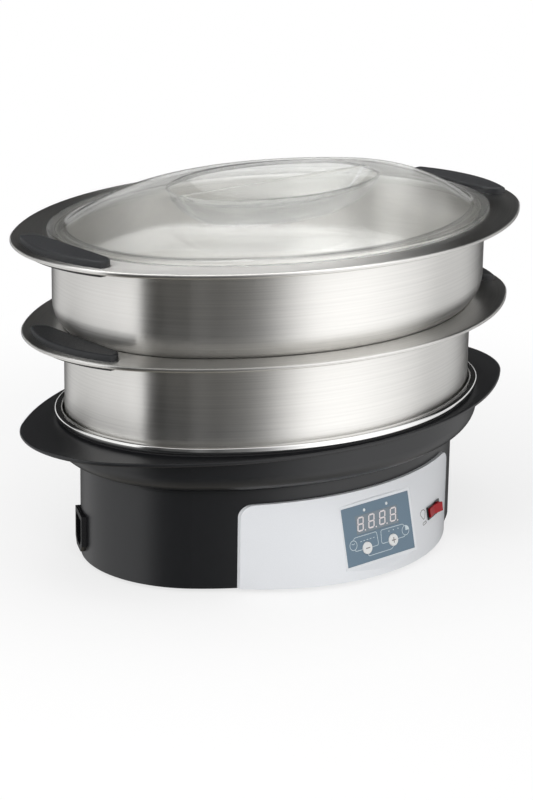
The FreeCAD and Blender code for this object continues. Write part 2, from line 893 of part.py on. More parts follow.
def upper_wall_at(z):
    # Half length of the upper tray's outside at a level on its round bottom edge.
    drop = max(upper_bottom + upper_round - z, 0)
    return upper_wall_half - upper_round + math.sqrt(upper_round ** 2 - drop ** 2)


def grip_screw_places(rim_half, grip_half):
    return four_corners((grip_half + rim_half - grip_inset) / 2, grip_screw_spread)


def grip_blank(side, rim_half, grip_half, low, high):
    # A crescent on the end of the rim: its outer edge follows the rim, its inner edge is straight.
    outline = oval_prism(rim_oval, rim_half - grip_inset, low, high)
    width = 2 * (rim_half - grip_half)
    corner = min(grip_corner, width / 3)
    block = slab(width, 2 * grip_half_span, low, high, side * rim_half, 0, corner)
    return outline.common(block)


def grip_top(side, rim_half, grip_half, rim_top):
    high = rim_top + grip_top_height
    pad = grip_blank(side, rim_half, grip_half, rim_top, high)
    pad = pad.makeFillet(grip_edge_round, edges_at(pad, high))
    screw_top = high - grip_edge_round
    places = grip_screw_places(rim_half, grip_half)
    return pad.cut([rod(screw_radius, rim_top - 1, screw_top, x, y) for x, y in places])


def grip_under(side, rim_half, grip_half, rim_top):
    high = rim_top - tray_sheet
    low = high - grip_under_height
    pad = grip_blank(side, rim_half, grip_half, low, high)
    pad = pad.makeFillet(grip_edge_round, edges_at(pad, low))
    places = grip_screw_places(rim_half, grip_half)
    holes = [rod(screw_radius + seat_gap, low - 1, high + 1, x, y) for x, y in places]
    sinks = [rod(screw_head_radius + seat_gap, low - 1, low + screw_head_height, x, y) for x, y in places]
    return pad.cut(holes + sinks)


def grip_screws(rim_half, grip_half, rim_top):
    low = rim_top - tray_sheet - grip_under_height
    top = rim_top + grip_top_height - grip_edge_round
    screws = []
    for x, y in grip_screw_places(rim_half, grip_half):
        head = rod(screw_head_radius, low, low + screw_head_height, x, y)
        screws.append(rod(screw_radius, low, top, x, y).fuse(head).removeSplitter())
    return Part.makeCompound(screws)


# Lid

def lid_dome_arc():
    # One arc from the foot of the dome to the crown, with a set slope at the crown.
    foot = (-lid_dome_inset, lid_seat + lid_flange + lid_step)
    crown = (lid_crown_half - lid_half, lid_top)
    run, rise = foot[0] - crown[0], crown[1] - foot[1]
    chord = math.atan2(rise, run)
    crown_slope = math.radians(lid_crown_slope)
    radius = math.hypot(run, rise) / (2 * math.sin(chord - crown_slope))
    centre = (crown[0] - radius * math.sin(crown_slope), crown[1] - radius * math.cos(crown_slope))
    return centre, radius, 90 - lid_crown_slope, 90 - math.degrees(2 * chord) + lid_crown_slope


def recess_bowl(grow):
    # The finger recess, or with grow the outside of its wall, open towards the top.
    ring = recess_half
    radius = (recess_floor_inset ** 2 + recess_depth ** 2) / (2 * recess_depth)
    centre = (-recess_floor_inset, lid_top - recess_depth + radius)
    top = lid_top + 2 * lid_wall
    stop = -90 + math.degrees(math.acos((centre[1] - lid_top - grow) / (radius + grow)))
    wall = arc(centre, radius + grow, -90, stop)
    rim = ends(wall)[1]
    return swept(recess_oval, ring, [wall, line(rim, (rim[0], top))])


def lid():
    centre, radius, crown, foot = lid_dome_arc()
    outer = arc(centre, radius, foot, crown)
    inner = arc(centre, radius - lid_wall, crown, foot)
    flange_top = lid_seat + lid_flange
    lip_low = lid_seat - lid_lip_depth
    lip_in = -lid_lip_inset - lid_lip_wall
    lining_foot = ends(inner)[1]
    flange = rounded([
        lining_foot + (0,), (lip_in, lining_foot[1], 0), (lip_in, lip_low, 0), (-lid_lip_inset, lip_low, 0),
        (-lid_lip_inset, lid_seat, 0), (0, lid_seat, 0), (0, flange_top, lid_flange_round),
        (-lid_flange_width, flange_top, 0), ends(outer)[0] + (0,),
    ])
    shell = swept(body_oval, lid_half, [inner] + flange + [outer])
    below = [line((ends(outer)[0][0], lip_low), ends(outer)[0]), outer]
    solid_dome = swept(body_oval, lid_half, below)
    recess = recess_bowl(0)
    pocket = recess_bowl(lid_wall).common(solid_dome)
    fin = slab(2 * recess_half, fin_thickness, lid_top - recess_depth - lid_wall, lid_top - fin_drop)
    return shell.cut(recess).fuse([pocket.cut(recess), fin.common(pocket)]).removeSplitter()


os.makedirs("parts", exist_ok=True)

single_pieces = [
    base_housing, base_collar, bottom_cover, cover_screws, rubber_feet, water_basin, basin_gasket,
    heater_plate, heating_element, heater_clips, thermostat, thermal_fuse, front_plate, control_panel,
    display_module, indicator_leds, control_board, board_screws, tact_switches, rocker_housing,
    rocker_contacts, rocker_paddle, inlet_socket, inlet_pins, power_board, power_board_screws,
    power_relay, power_capacitor, lid,
]
for piece in single_pieces:
    save(piece(), piece.__name__)
for name, x in button_places.items():
    save(push_button(x), name)
# The straight edge of each grip stands clear of what sits inside the rim: the upper tray or the lid.
lower_grip_half = upper_wall_at(lower_rim_top + grip_top_height) + grip_gap
upper_grip_half = lid_half + grip_gap
trays = {
    "lower": (lower_wall_half, lower_rim_half, lower_bottom, lower_rim_top, lower_round, lower_grip_half),
    "upper": (upper_wall_half, upper_rim_half, upper_bottom, upper_rim_top, upper_round, upper_grip_half),
}
for name, sizes in trays.items():
    save(tray(*sizes), name + "_tray")
    rim_half, rim_top, grip_half = sizes[1], sizes[3], sizes[5]
    for side_name, side in (("left", -1), ("right", 1)):
        save(grip_top(side, rim_half, grip_half, rim_top), name + "_" + side_name + "_pad")
        save(grip_under(side, rim_half, grip_half, rim_top), name + "_" + side_name + "_grip")
    save(grip_screws(rim_half, grip_half, rim_top), name + "_grip_screws")
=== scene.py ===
import math
import bmesh
import bpy
from mathutils import Matrix, Vector


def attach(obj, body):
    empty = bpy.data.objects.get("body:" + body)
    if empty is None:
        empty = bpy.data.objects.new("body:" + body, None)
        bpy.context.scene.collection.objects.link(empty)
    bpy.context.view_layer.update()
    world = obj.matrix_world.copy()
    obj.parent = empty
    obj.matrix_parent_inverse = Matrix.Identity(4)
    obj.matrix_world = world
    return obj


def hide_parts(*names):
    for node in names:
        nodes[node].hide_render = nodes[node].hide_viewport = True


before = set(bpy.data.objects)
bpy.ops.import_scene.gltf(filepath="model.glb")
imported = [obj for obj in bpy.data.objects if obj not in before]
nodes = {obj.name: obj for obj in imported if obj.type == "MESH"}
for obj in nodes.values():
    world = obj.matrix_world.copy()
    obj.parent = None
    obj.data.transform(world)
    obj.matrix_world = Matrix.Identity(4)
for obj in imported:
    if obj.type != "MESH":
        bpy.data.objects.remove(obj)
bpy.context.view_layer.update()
mm = 0.001
white = (1.0, 1.0, 1.0, 1.0)
print("frame loaded:", len(nodes), "nodes")

# ovals of the cooker: end arc centre and side arc centre, in mm
ovals = {"body": (68.0, 80.0), "rim": (96.0, 93.5), "recess": (42.0, 56.0), "middle": (0.0, 0.0)}


def pick(values, names):
    return [values[name] for name in names.split()]


def grey(tone):
    return (tone, tone, tone, 1.0)


def addNode(tree, kind, links=None, **settings):
    node = tree.nodes.new(kind)
    for key, value in settings.items():
        setattr(node, key, value)
    for key, value in (links or {}).items():
        if isinstance(value, bpy.types.NodeSocket):
            tree.links.new(value, node.inputs[key])
        else:
            node.inputs[key].default_value = value
    return node


def calc(tree, operation, first, second=0.0):
    node = addNode(tree, "ShaderNodeMath", {0: first, 1: second}, operation=operation)
    return node.outputs[0]


def plus(tree, first, second):
    return calc(tree, "ADD", first, second)


def minus(tree, first, second):
    return calc(tree, "SUBTRACT", first, second)


def times(tree, first, second):
    return calc(tree, "MULTIPLY", first, second)


def blend(tree, factor, first, second):
    # a mix node takes its colours on inputs 6 and 7 and gives one on output 2
    return addNode(tree, "ShaderNodeMix", {"Factor": factor, 6: first, 7: second}, data_type="RGBA").outputs[2]


def finish(name, color, roughness, metallic=0.0, sockets=None):
    material = bpy.data.materials.new(name)
    material.use_nodes = True
    shader = material.node_tree.nodes["Principled BSDF"]
    values = {"Base Color": (*color, 1.0), "Roughness": roughness, "Metallic": metallic, **(sockets or {})}
    for key, value in values.items():
        shader.inputs[key].default_value = value
    return material


noiseReach = {"low": 0.3, "high": 0.7}


def spread(tree, source, low, high):
    # noise seldom leaves its reach, which is stretched to the whole range
    first, last = pick(noiseReach, "low high")
    limits = {"Value": source, "From Min": first, "From Max": last, "To Min": low, "To Max": high}
    return addNode(tree, "ShaderNodeMapRange", limits).outputs[0]


def mottle(material, scale, roughRange=None, shade=None, bump=0.0,
           stretch=(1, 1, 1), detail=3.0, uvMap=None, swirl=0.0):
    # cloudy change of roughness, tone and height over a surface
    tree = material.node_tree
    shader = tree.nodes["Principled BSDF"]
    if uvMap:
        coords = addNode(tree, "ShaderNodeUVMap", uv_map=uvMap).outputs[0]
    else:
        coords = addNode(tree, "ShaderNodeTexCoord").outputs["Object"]
    mapped = addNode(tree, "ShaderNodeMapping", {"Vector": coords, "Scale": stretch}).outputs[0]
    cloud = {"Vector": mapped, "Scale": scale, "Detail": detail, "Distortion": swirl}
    value = addNode(tree, "ShaderNodeTexNoise", cloud).outputs[0]
    if roughRange:
        tree.links.new(spread(tree, value, *roughRange), shader.inputs["Roughness"])
    if shade:
        dark, light = ([c * k for c in shader.inputs["Base Color"].default_value[:3]] for k in shade)
        tone = blend(tree, spread(tree, value, 0.0, 1.0), (*dark, 1.0), (*light, 1.0))
        tree.links.new(tone, shader.inputs["Base Color"])
    if bump:
        lift = addNode(tree, "ShaderNodeBump", {"Height": value, "Distance": bump, "Strength": 1.0})
        tree.links.new(lift.outputs[0], shader.inputs["Normal"])
    return material


traySteel = {"tone": (0.80, 0.79, 0.765), "roughness": 0.32, "roughSpan": 0.03, "anisotropy": 0.95, "turn": 0.25,
             "shade": (0.92, 1.03), "stretch": (11, 800, 1), "detail": 1.0, "swirl": 0.4}


def brushedSteel(name, style):
    shine = {"Anisotropic": style["anisotropy"], "Anisotropic Rotation": style["turn"]}
    steel = finish(name, style["tone"], style["roughness"], 1.0, shine)
    tree = steel.node_tree
    # the brush lines run round the oval, along the sweep's own map
    tangent = addNode(tree, "ShaderNodeTangent", direction_type="UV_MAP", uv_map="brush")
    tree.links.new(tangent.outputs[0], tree.nodes["Principled BSDF"].inputs["Tangent"])
    roughRange = (style["roughness"] - style["roughSpan"], style["roughness"] + style["roughSpan"])
    return mottle(steel, 1.0, roughRange, style["shade"], 0.0, style["stretch"], style["detail"], "brush", style["swirl"])


lidPlastic = {"tone": (0.97, 0.98, 0.975), "roughness": 0.02, "shadowTone": 0.9,
              "sockets": {"IOR": 1.2, "Transmission Weight": 1.0, "Specular IOR Level": 0.9, "Alpha": 0.55}}


def clearPlastic(name, style):
    clear = finish(name, style["tone"], style["roughness"], 0.0, style["sockets"])
    tree = clear.node_tree
    shader = tree.nodes["Principled BSDF"]
    shadowRay = addNode(tree, "ShaderNodeLightPath").outputs["Is Shadow Ray"]
    # lamps shine straight through, so the lid throws only a faint shadow
    through = addNode(tree, "ShaderNodeBsdfTransparent", {"Color": grey(style["shadowTone"])})
    mix = addNode(tree, "ShaderNodeMixShader", {0: shadowRay, 1: shader.outputs[0], 2: through.outputs[0]})
    tree.links.new(mix.outputs[0], tree.nodes["Material Output"].inputs["Surface"])
    return clear


# finish: colour, roughness, metallic; mottle: noise scale, roughness range, tone range, bump height in m
finishes = {
    "black_plastic": mottle(finish("satinBlackMoulding", (0.010, 0.0105, 0.012), 0.35),
                            1400, (0.31, 0.39), (0.9, 1.1), 0.000008),
    "grip_plastic": mottle(finish("grainedBlackGrip", (0.017, 0.018, 0.020), 0.5),
                           1100, (0.42, 0.58), (0.85, 1.15), 0.00004),
    "gloss_black": mottle(finish("glossBlackMoulding", (0.008, 0.008, 0.009), 0.22), 700, (0.18, 0.28), None, 0.000005),
    "brushed_steel": brushedSteel("brushedTraySteel", traySteel),
    "polished_steel": mottle(finish("polishedBasinSteel", (0.86, 0.86, 0.85), 0.09, 1.0), 300, (0.06, 0.13)),
    "clear_lid": clearPlastic("clearLidPlastic", lidPlastic),
    "silver_plate": mottle(finish("satinSilverPaint", (0.80, 0.815, 0.84), 0.34, 0.04),
                           2600, (0.30, 0.40), (0.97, 1.02), 0.000004),
    "panel_blue": mottle(finish("greyBluePanelFilm", (0.135, 0.205, 0.270), 0.38),
                         1800, (0.34, 0.44), (0.95, 1.05), 0.000004),
    "display_face": mottle(finish("smokedDisplayWindow", (0.19, 0.235, 0.27), 0.2), 500, (0.16, 0.24)),
    "lamp_white": mottle(finish("milkyLamp", (0.80, 0.84, 0.86), 0.35), 900, (0.3, 0.4)),
    "button_white": mottle(finish("whiteKeyCap", (0.82, 0.82, 0.81), 0.4), 900, (0.34, 0.46), (0.98, 1.0)),
    "rocker_red": mottle(finish("glossRedRocker", (0.36, 0.004, 0.010), 0.4, 0.0, {"Specular IOR Level": 0.3}),
                         600, (0.36, 0.46), (0.92, 1.05)),
    "foot_rubber": mottle(finish("blackFootRubber", (0.014, 0.014, 0.014), 0.75), 700, (0.68, 0.82), None, 0.00004),
    "silicone": mottle(finish("darkSealSilicone", (0.03, 0.03, 0.032), 0.55), 800, (0.5, 0.6)),
    "screw_steel": mottle(finish("zincScrewSteel", (0.62, 0.62, 0.60), 0.32, 1.0), 900, (0.26, 0.4)),
    "heater_aluminium": mottle(finish("castHeaterAluminium", (0.66, 0.66, 0.66), 0.5, 1.0),
                               400, (0.42, 0.58), None, 0.00004),
    "heater_tube": mottle(finish("heaterTubeSteel", (0.32, 0.30, 0.29), 0.42, 1.0), 500, (0.36, 0.5)),
    "dark_component": mottle(finish("darkComponentCase", (0.02, 0.02, 0.022), 0.45), 900, (0.4, 0.5)),
    "board_green": mottle(finish("greenCircuitBoard", (0.02, 0.11, 0.05), 0.4), 260, (0.34, 0.46), (0.85, 1.1)),
    "brass": mottle(finish("brassContact", (0.72, 0.52, 0.25), 0.3, 1.0), 700, (0.25, 0.38)),
}
for node in nodes.values():
    slotName = node.material_slots[0].name
    node.data.materials[0] = finishes[slotName]
print("finishes set:", len(finishes))


def newTree(name, inputs, output):
    tree = bpy.data.node_groups.new(name, "GeometryNodeTree")
    for label, kind in inputs.items():
        tree.interface.new_socket(label, in_out="INPUT", socket_type="NodeSocket" + kind)
    tree.interface.new_socket(output, in_out="OUTPUT", socket_type="NodeSocketGeometry")
    return tree, addNode(tree, "NodeGroupInput").outputs


def handOut(tree, geometry, material, output):
    painted = addNode(tree, "GeometryNodeSetMaterial", {"Geometry": geometry, "Material": material})
    addNode(tree, "NodeGroupOutput", {output: painted.outputs[0]})
    return tree


# runs: mean lengths of the end arc and the side arc in one quarter, in m
sweepStyle = {"endRun": 0.082, "sideRun": 0.138, "mergeReach": 0.000002}


def sweepTree():
    # a profile swept round ovals of four arcs, with a brush map that runs round them
    tree, start = newTree("ovalSweep", {"Profile": "Geometry", "Around": "Int", "Finish": "Material"}, "Shell")
    profile, around = start["Profile"], start["Around"]
    size = addNode(tree, "GeometryNodeAttributeDomainSize", {"Geometry": profile}, component="MESH")
    rows = plus(tree, around, 1)
    grid = addNode(tree, "GeometryNodeMeshGrid", {"Vertices X": size.outputs["Point Count"], "Vertices Y": rows})
    index = addNode(tree, "GeometryNodeInputIndex").outputs[0]
    station = calc(tree, "FLOOR", calc(tree, "DIVIDE", index, rows))
    step = minus(tree, index, times(tree, station, rows))
    # quarters walked so far, and every second quarter is measured backwards
    spent = calc(tree, "DIVIDE", times(tree, step, 4.0), around)
    turned = calc(tree, "FLOOR", spent)
    back = calc(tree, "MODULO", turned, 2.0)
    share = times(tree, calc(tree, "ABSOLUTE", minus(tree, minus(tree, spent, turned), back)), 2.0)

    def sampled(name):
        value = addNode(tree, "GeometryNodeInputNamedAttribute", {"Name": name}, data_type="FLOAT").outputs[0]
        wanted = {"Geometry": profile, "Value": value, "Index": station}
        return addNode(tree, "GeometryNodeSampleIndex", wanted, data_type="FLOAT").outputs[0]

    half, height, end, side, run = (sampled(n) for n in ("half", "height", "endCentre", "sideCentre", "run"))
    # half the steps of each quarter lie on the end arc and half on the side arc
    quarter = math.pi / 2
    swing = calc(tree, "ARCTAN2", side, end)
    endShare = calc(tree, "MINIMUM", share, 1.0)
    sideShare = calc(tree, "MAXIMUM", minus(tree, share, 1.0), 0.0)
    lean = plus(tree, times(tree, endShare, swing), times(tree, sideShare, minus(tree, quarter, swing)))
    way = minus(tree, 1.0, times(tree, back, 2.0))
    wholes = plus(tree, turned, back)
    turn = plus(tree, times(tree, wholes, quarter), times(tree, lean, way))
    cosTurn, sinTurn = calc(tree, "COSINE", turn), calc(tree, "SINE", turn)
    onSide = calc(tree, "GREATER_THAN", share, 1.0)
    onEnd = minus(tree, 1.0, onSide)
    reach = calc(tree, "SQRT", plus(tree, times(tree, end, end), times(tree, side, side)))
    radius = plus(tree, minus(tree, half, end), times(tree, onSide, reach))
    centreX = times(tree, times(tree, calc(tree, "SIGN", cosTurn), end), onEnd)
    centreY = times(tree, times(tree, calc(tree, "SIGN", sinTurn), side), times(tree, onSide, -1))
    place = addNode(tree, "ShaderNodeCombineXYZ", {
        "X": plus(tree, centreX, times(tree, radius, cosTurn)),
        "Y": plus(tree, centreY, times(tree, radius, sinTurn)), "Z": height})
    moved = addNode(tree, "GeometryNodeSetPosition", {"Geometry": grid.outputs["Mesh"], "Position": place.outputs[0]})
    endRun, sideRun = pick(sweepStyle, "endRun sideRun")
    along = plus(tree, times(tree, endShare, endRun), times(tree, sideShare, sideRun))
    length = plus(tree, times(tree, wholes, endRun + sideRun), times(tree, along, way))
    spot = addNode(tree, "ShaderNodeCombineXYZ", {"X": length, "Y": run})
    # the index counts points, so the value is taken on the points and handed to the corners
    brush = addNode(tree, "GeometryNodeFieldOnDomain", {0: spot.outputs[0]}, data_type="FLOAT_VECTOR", domain="POINT")
    named = {"Geometry": moved.outputs[0], "Name": "brush", "Value": brush.outputs[0]}
    stored = addNode(tree, "GeometryNodeStoreNamedAttribute", named, data_type="FLOAT2", domain="CORNER")
    seam = {"Geometry": stored.outputs[0], "Distance": sweepStyle["mergeReach"]}
    merged = addNode(tree, "GeometryNodeMergeByDistance", seam)
    smooth = addNode(tree, "GeometryNodeSetShadeSmooth", {"Geometry": merged.outputs[0]})
    return handOut(tree, smooth.outputs[0], start["Finish"], "Shell")


def section(corners, arcSteps=8, skirt=0.35):
    # corners: (oval, half length, height, corner radius) in mm, made into a fine path with held flats
    path = []
    points = [Vector((half, height)) for oval, half, height, radius in corners]
    for i, here in enumerate(points):
        oval, radius = corners[i][0], corners[i][3]
        if radius == 0 or i in (0, len(corners) - 1):
            path.append((oval, here))
            continue
        before = (points[i - 1] - here).normalized()
        after = (points[i + 1] - here).normalized()
        opening = before.angle(after) / 2
        reach = radius / math.tan(opening)
        centre = here + (before + after).normalized() * (radius / math.sin(opening))
        first, last = here + before * reach, here + after * reach
        path.append((oval, first + before * skirt))
        spoke = first - centre
        swing = spoke.angle_signed(last - centre)
        for k in range(arcSteps + 1):
            turned = Matrix.Rotation(-swing * k / arcSteps, 2) @ spoke
            path.append((oval, centre + turned))
        path.append((oval, last + after * skirt))
    return path


def settle(piece):
    graph = bpy.context.evaluated_depsgraph_get()
    source = piece.evaluated_get(graph)
    mesh = bpy.data.meshes.new_from_object(source, preserve_all_data_layers=True, depsgraph=graph)
    piece.modifiers.clear()
    piece.data = mesh
    mesh.name = piece.name
    return piece


def addModifier(piece, tree, values):
    modifier = piece.modifiers.new(tree.name, "NODES")
    modifier.node_group = tree
    for item in tree.interface.items_tree:
        if item.in_out == "INPUT" and item.name in values:
            modifier[item.identifier] = values[item.name]
    return settle(piece)


creaseAngle = 38


def outward(piece):
    shape = bmesh.new()
    shape.from_mesh(piece.data)
    bmesh.ops.recalc_face_normals(shape, faces=shape.faces)
    shape.to_mesh(piece.data)
    shape.free()
    piece.data.set_sharp_from_angle(angle=math.radians(creaseAngle))
    return piece


def newPiece(name, verts, edges=(), faces=()):
    mesh = bpy.data.meshes.new(name)
    mesh.from_pydata(verts, edges, faces)
    piece = bpy.data.objects.new(name, mesh)
    bpy.context.scene.collection.objects.link(piece)
    return piece


sweep = sweepTree()


def swept(name, path, material, around=360):
    piece = newPiece(name, [(0, 0, i) for i in range(len(path))], [(i, i + 1) for i in range(len(path) - 1)])
    run = 0.0
    values = {"half": [], "height": [], "endCentre": [], "sideCentre": [], "run": []}
    for i, (oval, spot) in enumerate(path):
        run += (spot - path[i - 1][1]).length * mm if i else 0.0
        for key, value in zip(values, (spot.x * mm, spot.y * mm, ovals[oval][0] * mm, ovals[oval][1] * mm, run)):
            values[key].append(value)
    for key, column in values.items():
        piece.data.attributes.new(key, "FLOAT", "POINT").data.foreach_set("value", column)
    return outward(addModifier(piece, sweep, {"Around": around, "Finish": material}))


trayShapes = {
    "lower": {"wall": 159.0, "rim": 193.2, "bottom": 98.2, "rimTop": 168.8, "round": 8.0},
    "upper": {"wall": 167.0, "rim": 200.0, "bottom": 163.141, "rimTop": 232.741, "round": 22.0},
}
traySheet = {"sheet": 1.2, "bend": 2.6, "hem": 3.0, "hemRound": 1.3, "crease": 0.3, "flat": 70.0}


def trayPath(shape):
    sheet, bend, hem, hemRound, crease, flat = pick(traySheet, "sheet bend hem hemRound crease flat")
    wall, rim, bottom, top, curve = pick(shape, "wall rim bottom rimTop round")
    under = top - sheet
    return section([
        ("middle", 0, bottom, 0), ("body", flat, bottom, 0), ("body", wall, bottom, curve), ("body", wall, under, bend),
        ("rim", rim - hem, under, crease), ("rim", rim - hem, top - hem, hemRound), ("rim", rim, top - hem, hemRound),
        ("rim", rim, top, hemRound), ("body", wall - sheet, top, bend + sheet),
        ("body", wall - sheet, bottom + sheet, curve - sheet), ("body", flat, bottom + sheet, 0),
        ("middle", 0, bottom + sheet, 0),
    ])


steamHoles = {"Radius": 4.0, "Pitch Along": 26.0, "Pitch Across": 22.0, "Depth": 8.0}
# rows: place across the tray and count of holes
steamRows = {"rows": ((-1, 4), (0, 5), (1, 4)), "sides": 40}


def perforateTree():
    inputs = {"Tray": "Geometry", **{name: "Float" for name in steamHoles}, "Level": "Float", "Finish": "Material"}
    tree, start = newTree("steamHoles", inputs, "Tray")
    rows = addNode(tree, "GeometryNodeJoinGeometry")
    for row, count in steamRows["rows"]:
        first = addNode(tree, "ShaderNodeCombineXYZ", {
            "X": times(tree, start["Pitch Along"], (1 - count) / 2),
            "Y": times(tree, start["Pitch Across"], row), "Z": start["Level"]})
        step = addNode(tree, "ShaderNodeCombineXYZ", {"X": start["Pitch Along"]})
        line = addNode(tree, "GeometryNodeMeshLine", {
            "Count": count, "Start Location": first.outputs[0], "Offset": step.outputs[0]})
        tree.links.new(line.outputs[0], rows.inputs[0])
    punch = addNode(tree, "GeometryNodeMeshCylinder", {
        "Vertices": steamRows["sides"], "Radius": start["Radius"], "Depth": start["Depth"]})
    placed = addNode(tree, "GeometryNodeInstanceOnPoints", {"Points": rows.outputs[0], "Instance": punch.outputs[0]})
    solid = addNode(tree, "GeometryNodeRealizeInstances", {0: placed.outputs[0]})
    cut = addNode(tree, "GeometryNodeMeshBoolean", {"Mesh 1": start["Tray"], "Mesh 2": solid.outputs[0]},
                  operation="DIFFERENCE", solver="EXACT")
    return handOut(tree, cut.outputs[0], start["Finish"], "Tray")


perforate = perforateTree()
for name, shape in trayShapes.items():
    tray = swept(name + "TrayShell", trayPath(shape), finishes["brushed_steel"])
    holes = {key: value * mm for key, value in steamHoles.items()}
    holes["Level"] = shape["bottom"] * mm
    holes["Finish"] = finishes["brushed_steel"]
    addModifier(tray, perforate, holes)
    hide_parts(name + "_tray")
    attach(tray, name + "_tray")
print("trays made")

basinShape = {"mouth": 160.0, "tub": 128.0, "floor": 62.1, "ledge": 98.1, "sheet": 1.0, "corner": 6.0, "flat": 80.0,
              "beadFoot": 103.7, "beadTop": 109.2, "beadWidth": 6.2, "beadRound": 2.4, "footRound": 0.2,
              "ledgeRound": 0.6, "skirt": 0.12}


def basinPath():
    mouth, tub, floor, ledge, sheet, corner, flat = pick(basinShape, "mouth tub floor ledge sheet corner flat")
    foot, top, width, curve = pick(basinShape, "beadFoot beadTop beadWidth beadRound")
    return section([
        ("middle", 0, floor, 0), ("body", flat, floor, 0), ("body", tub, floor, corner),
        ("body", tub, ledge - sheet, sheet), ("body", mouth + sheet, ledge - sheet, sheet),
        ("body", mouth + sheet, foot, basinShape["footRound"]), ("body", mouth + width, foot, curve),
        ("body", mouth + width, top, curve), ("body", mouth, top, curve),
        ("body", mouth, ledge, basinShape["ledgeRound"]), ("body", tub - sheet, ledge, 2 * sheet),
        ("body", tub - sheet, floor + sheet, corner - sheet), ("body", flat, floor + sheet, 0),
        ("middle", 0, floor + sheet, 0),
    ], skirt=basinShape["skirt"])


basin = swept("basinShell", basinPath(), finishes["polished_steel"])
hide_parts("water_basin")
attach(basin, "base")
print("basin made")

lidShape = {
    "half": 170.0, "seat": 232.841, "top": 258.841, "wall": 2.5, "step": 0.8, "domeInset": 12.0, "crownHalf": 94.0,
    "crownSlope": 2.0, "flange": 3.0, "flangeRound": 1.2, "flangeWidth": 8.5, "seatRound": 0.4, "lipDepth": 4.5,
    "lipInset": 5.6, "lipWall": 2.4, "lipRound": 0.5, "crease": 0.3, "domeOverlap": 0.2,
    "recess": 83.0, "recessDepth": 23.0, "floorInset": 38.0,
    "finThickness": 4.0, "finDrop": 0.4, "finFoot": 0.35, "finClear": 0.5, "finFlare": 0.4, "finRound": 1.2,
    "around": 320, "domeSteps": 40, "recessSteps": 22, "rimSteps": 5, "rimSkirt": 0.1, "finSteps": 4,
}


def onArc(centre, radius, turns):
    return [(centre[0] + radius * math.cos(t), centre[1] + radius * math.sin(t)) for t in turns]


def arcSpots(oval, centre, radius, first, last, steps):
    turns = [math.radians(first + (last - first) * k / steps) for k in range(steps + 1)]
    return [(oval, Vector(spot)) for spot in onArc(centre, radius, turns)]


def recessArc(grow):
    # wall of the finger recess, from its floor up to the crown
    inset, depth, top = pick(lidShape, "floorInset recessDepth top")
    radius = (inset ** 2 + depth ** 2) / (2 * depth)
    centre = (lidShape["recess"] - inset, top - depth + radius)
    level = top - (lidShape["wall"] if grow else 0.0)
    down = -90
    stop = down + math.degrees(math.acos((centre[1] - level) / (radius + grow)))
    return arcSpots("recess", centre, radius + grow, down, stop, lidShape["recessSteps"])


def lidPath():
    half, seat, top, wall = pick(lidShape, "half seat top wall")
    foot = (half - lidShape["domeInset"], seat + lidShape["flange"] + lidShape["step"])
    run, rise = foot[0] - lidShape["crownHalf"], top - foot[1]
    chord, slope = math.atan2(rise, run), math.radians(lidShape["crownSlope"])
    radius = math.hypot(run, rise) / (2 * math.sin(chord - slope))
    centre = (lidShape["crownHalf"] - radius * math.sin(slope), top - radius * math.cos(slope))
    crownTurn = 90 - lidShape["crownSlope"]
    footTurn = 90 - math.degrees(2 * chord) + lidShape["crownSlope"]
    outer = arcSpots("body", centre, radius, crownTurn, footTurn, lidShape["domeSteps"])
    inner = arcSpots("body", centre, radius - wall, footTurn, crownTurn, lidShape["domeSteps"])
    innerFoot = inner[0][1]
    flange = seat + lidShape["flange"]
    lip = half - lidShape["lipInset"]
    lipBack, lipFoot = lip - lidShape["lipWall"], seat - lidShape["lipDepth"]
    lipRound, crease = pick(lidShape, "lipRound crease")
    rim = section([
        ("body", half - lidShape["flangeWidth"], flange, 0), ("body", half, flange, lidShape["flangeRound"]),
        ("body", half, seat, lidShape["seatRound"]), ("body", lip, seat, crease), ("body", lip, lipFoot, lipRound),
        ("body", lipBack, lipFoot, lipRound), ("body", lipBack, innerFoot.y, crease),
        ("body", innerFoot.x - lidShape["domeOverlap"], innerFoot.y, 0),
    ], lidShape["rimSteps"], lidShape["rimSkirt"])
    bowl, under = recessArc(0.0), recessArc(wall)
    first, last = (("middle", Vector((0, arc[0][1].y))) for arc in (bowl, under))
    return [first] + bowl + outer + rim + inner + under[::-1] + [last]


def makeFin():
    # the fin stands across the recess and its foot follows the bowl
    side, crest = lidShape["finThickness"] / 2, lidShape["top"] - lidShape["finDrop"]
    bowl = [spot for oval, spot in recessArc(lidShape["finFoot"]) if spot.y < crest - lidShape["finClear"]]
    outline = [(-spot.x, spot.y) for spot in reversed(bowl)] + [(spot.x, spot.y) for spot in bowl]
    outline += [(outline[-1][0] + lidShape["finFlare"], crest), (outline[0][0] - lidShape["finFlare"], crest)]
    count = len(outline)
    verts = [(x * mm, y * mm, z * mm) for y in (-side, side) for x, z in outline]
    faces = [tuple(range(count)), tuple(reversed(range(count, 2 * count)))]
    faces += [(i, i + count, (i + 1) % count + count, (i + 1) % count) for i in range(count)]
    fin = newPiece("lidFin", verts, (), faces)
    shape = bmesh.new()
    shape.from_mesh(fin.data)
    near = 1e-6
    top = [e for e in shape.edges if all(abs(v.co.z - crest * mm) < near for v in e.verts)
           and abs(e.verts[0].co.y - e.verts[1].co.y) < near]
    bmesh.ops.bevel(shape, geom=top, offset=lidShape["finRound"] * mm, segments=lidShape["finSteps"], profile=0.5,
                    affect="EDGES")
    bmesh.ops.recalc_face_normals(shape, faces=shape.faces)
    shape.to_mesh(fin.data)
    shape.free()
    return fin


